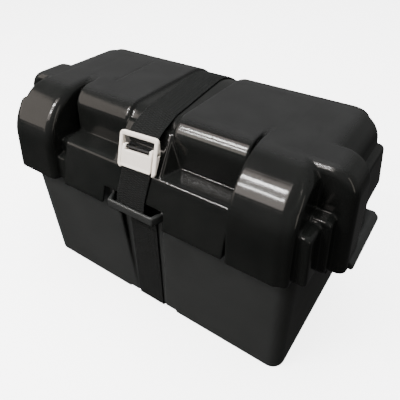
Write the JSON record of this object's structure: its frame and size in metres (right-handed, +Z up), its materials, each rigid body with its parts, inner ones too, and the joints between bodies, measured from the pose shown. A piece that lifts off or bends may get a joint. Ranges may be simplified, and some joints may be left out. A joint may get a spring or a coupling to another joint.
{
  "type": "boxed deep cycle battery",
  "caption": "Deep cycle battery in a lidded black plastic box closed by a webbing strap with a cam buckle; the lid lifts off and the battery has caps, terminals and a bail.",
  "frame": {"origin": "centre of the box's base, on the surface it stands on", "axes": "+X along the box's length, -Y toward the side with the buckle, +Z up"},
  "size_m": [0.4356, 0.224, 0.255],
  "materials": {
    "lid_black": "glossy moulded black plastic, satin on the top face",
    "tub_black": "satin moulded black plastic, faint mottling",
    "webbing": "woven black strap webbing with cross ribs",
    "buckle_cream": "cream moulded plastic, slight sheen",
    "pin_steel": "plain steel pin",
    "case_black": "satin black battery case",
    "cover_grey": "satin dark grey battery cover",
    "cap_black": "satin black caps and handle",
    "plate_grey": "dull grey pasted lead plates",
    "lead": "dull cast lead alloy",
    "stud_steel": "stainless stud and nut",
    "ring_red": "red polarity ring",
    "ring_black": "black polarity ring"
  },
  "bodies": {
    "box": {"tub": "tub_black", "strap_under": "webbing", "battery_case": "case_black", "battery_cover": "cover_grey", "terminal_negative": "lead", "terminal_positive": "lead", "terminal_stud_negative": "stud_steel", "terminal_stud_positive": "stud_steel", "polarity_ring_negative": "ring_black", "polarity_ring_positive": "ring_red", "plate_pack_1": "plate_grey", "plate_pack_2": "plate_grey", "plate_pack_3": "plate_grey", "plate_pack_4": "plate_grey", "plate_pack_5": "plate_grey", "plate_pack_6": "plate_grey", "cell_link_1": "lead", "cell_link_2": "lead", "cell_link_3": "lead", "cell_link_4": "lead", "cell_link_5": "lead"},
    "lid_group": {"lid": "lid_black", "strap_top": "webbing", "strap_front": "webbing", "buckle_frame": "buckle_cream", "buckle_pin": "pin_steel"},
    "lever": {"buckle_lever": "buckle_cream"},
    "handle": {"battery_handle": "cap_black"},
    "cap_1": {"vent_cap_1": "cap_black"},
    "cap_2": {"vent_cap_2": "cap_black"},
    "cap_3": {"vent_cap_3": "cap_black"},
    "cap_4": {"vent_cap_4": "cap_black"},
    "cap_5": {"vent_cap_5": "cap_black"},
    "cap_6": {"vent_cap_6": "cap_black"},
    "nut_negative": {"wing_nut_negative": "stud_steel"},
    "nut_positive": {"wing_nut_positive": "stud_steel"}
  },
  "joints": [
    {"name": "lid_lift", "type": "slide", "parent": "box", "child": "lid_group", "axis": [0, 0, 1], "range_m": [0, 0.12]},
    {"name": "buckle_lever_hinge", "type": "hinge", "parent": "lid_group", "child": "lever", "pos_m": [0.00226, -0.08891, 0.22357], "axis": [-0.9986, -0.0169, -0.0495], "range_deg": [0, 100]},
    {"name": "battery_handle_hinge", "type": "hinge", "parent": "box", "child": "handle", "pos_m": [0, 0, 0.1568], "axis": [1, 0, 0], "range_deg": [0, 70]},
    {"name": "vent_cap_1_turn", "type": "hinge", "parent": "box", "child": "cap_1", "pos_m": [-0.125, 0.014, 0.1941], "axis": [0, 0, 1], "range_deg": [0, 90]},
    {"name": "vent_cap_2_turn", "type": "hinge", "parent": "box", "child": "cap_2", "pos_m": [-0.075, 0.014, 0.1941], "axis": [0, 0, 1], "range_deg": [0, 90]},
    {"name": "vent_cap_3_turn", "type": "hinge", "parent": "box", "child": "cap_3", "pos_m": [-0.025, 0.014, 0.1941], "axis": [0, 0, 1], "range_deg": [0, 90]},
    {"name": "vent_cap_4_turn", "type": "hinge", "parent": "box", "child": "cap_4", "pos_m": [0.025, 0.014, 0.1941], "axis": [0, 0, 1], "range_deg": [0, 90]},
    {"name": "vent_cap_5_turn", "type": "hinge", "parent": "box", "child": "cap_5", "pos_m": [0.075, 0.014, 0.1941], "axis": [0, 0, 1], "range_deg": [0, 90]},
    {"name": "vent_cap_6_turn", "type": "hinge", "parent": "box", "child": "cap_6", "pos_m": [0.125, 0.014, 0.1941], "axis": [0, 0, 1], "range_deg": [0, 90]},
    {"name": "wing_nut_negative_turn", "type": "hinge", "parent": "box", "child": "nut_negative", "pos_m": [-0.14, -0.038, 0.1854], "axis": [0, 0, 1], "continuous": true},
    {"name": "wing_nut_positive_turn", "type": "hinge", "parent": "box", "child": "nut_positive", "pos_m": [0.14, -0.038, 0.1854], "axis": [0, 0, 1], "continuous": true}
  ]
}
